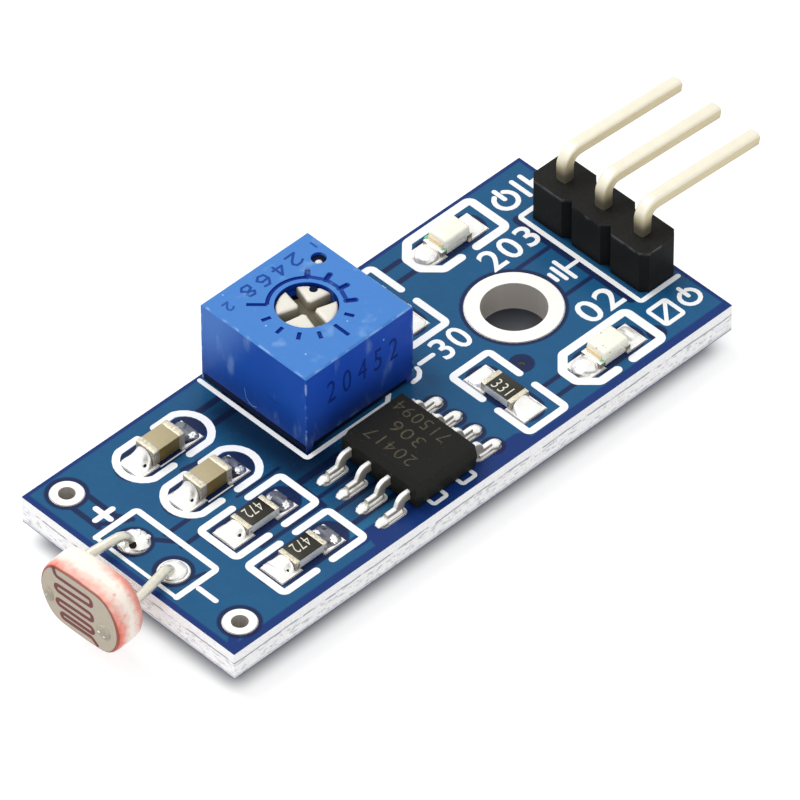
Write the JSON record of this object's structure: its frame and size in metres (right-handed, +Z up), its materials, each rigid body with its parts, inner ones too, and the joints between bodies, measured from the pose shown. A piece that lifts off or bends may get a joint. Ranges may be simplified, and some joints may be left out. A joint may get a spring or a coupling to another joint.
{
  "type": "light sensor module with a threshold trimmer and a three pin header",
  "caption": "Small blue circuit board with a light dependent cell at one end, a comparator chip, a trimmer that sets its threshold, and a pin header at the other end.",
  "frame": {"origin": "on the mounting hole's axis, at the board's underside", "axes": "+X along the board, from the cell to the header; +Y across the board; +Z up, along the mounting hole's axis"},
  "size_m": [0.0418, 0.014, 0.0075],
  "materials": {
    "glass_fibre": "rough sawn glass fibre laminate",
    "blue_mask": "glossy blue solder mask",
    "white_ink": "flat white print",
    "tin": "bright tinned metal",
    "solder": "uneven bright solder",
    "terminal_metal": "dull plated terminal",
    "capacitor_ceramic": "fired tan ceramic",
    "alumina": "white ceramic",
    "black_glass": "dark glass overcoat",
    "led_base": "pale laminate",
    "led_lens": "cloudy clear moulding",
    "black_epoxy": "matt moulded epoxy",
    "blue_plastic": "satin blue moulding",
    "cream_plastic": "cream moulding",
    "spring_metal": "plain sheet",
    "black_plastic": "matt black moulding",
    "gold_plate": "pale gold plate",
    "cell_ceramic": "fired wafer",
    "cell_coat": "cream coat with orange red rim",
    "cell_electrode": "dull metal film",
    "cell_track": "red brown sensing film"
  },
  "bodies": {
    "board": {"board_laminate": "glass_fibre", "solder_mask_top": "blue_mask", "solder_mask_bottom": "blue_mask", "legend_print": "white_ink", "mounting_hole_plating": "tin", "corner_eyelet_far": "tin", "corner_eyelet_near": "tin", "plated_barrels": "tin", "via_plating": "tin", "surface_lands": "tin", "capacitor_far_body": "capacitor_ceramic", "capacitor_far_ends": "terminal_metal", "capacitor_near_body": "capacitor_ceramic", "capacitor_near_ends": "terminal_metal", "resistor_far_substrate": "alumina", "resistor_far_overcoat": "black_glass", "resistor_far_ends": "terminal_metal", "resistor_near_substrate": "alumina", "resistor_near_overcoat": "black_glass", "resistor_near_ends": "terminal_metal", "resistor_indicator_substrate": "alumina", "resistor_indicator_overcoat": "black_glass", "resistor_indicator_ends": "terminal_metal", "resistor_power_substrate": "alumina", "resistor_power_overcoat": "black_glass", "resistor_power_ends": "terminal_metal", "power_led_base": "led_base", "power_led_lens": "led_lens", "power_led_ends": "terminal_metal", "output_led_base": "led_base", "output_led_lens": "led_lens", "output_led_ends": "terminal_metal", "passive_solder": "solder", "indicator_solder": "solder", "chip_body": "black_epoxy", "chip_leads_sensor_side": "tin", "chip_leads_header_side": "tin", "chip_solder": "solder", "trimmer_housing": "blue_plastic", "trimmer_element": "alumina", "trimmer_corner_plug": "cream_plastic", "trimmer_pin_1": "tin", "trimmer_pin_2": "tin", "trimmer_pin_3": "tin", "trimmer_solder": "solder", "header_housing": "black_plastic", "header_pin_1": "gold_plate", "header_pin_2": "gold_plate", "header_pin_3": "gold_plate", "header_solder": "solder", "cell_disc": "cell_ceramic", "cell_coating": "cell_coat", "cell_electrodes": "cell_electrode", "cell_track": "cell_track", "cell_dabs": "solder", "cell_lead_far": "tin", "cell_lead_near": "tin", "cell_solder": "solder"},
    "rotor": {"trimmer_rotor": "cream_plastic", "trimmer_wiper": "spring_metal"}
  },
  "joints": [
    {"name": "trimmer_turn", "type": "hinge", "parent": "board", "child": "rotor", "pos_m": [-0.01008, 0.00336, 0.0052], "axis": [0, 0, 1], "range_deg": [-256, 14]}
  ]
}
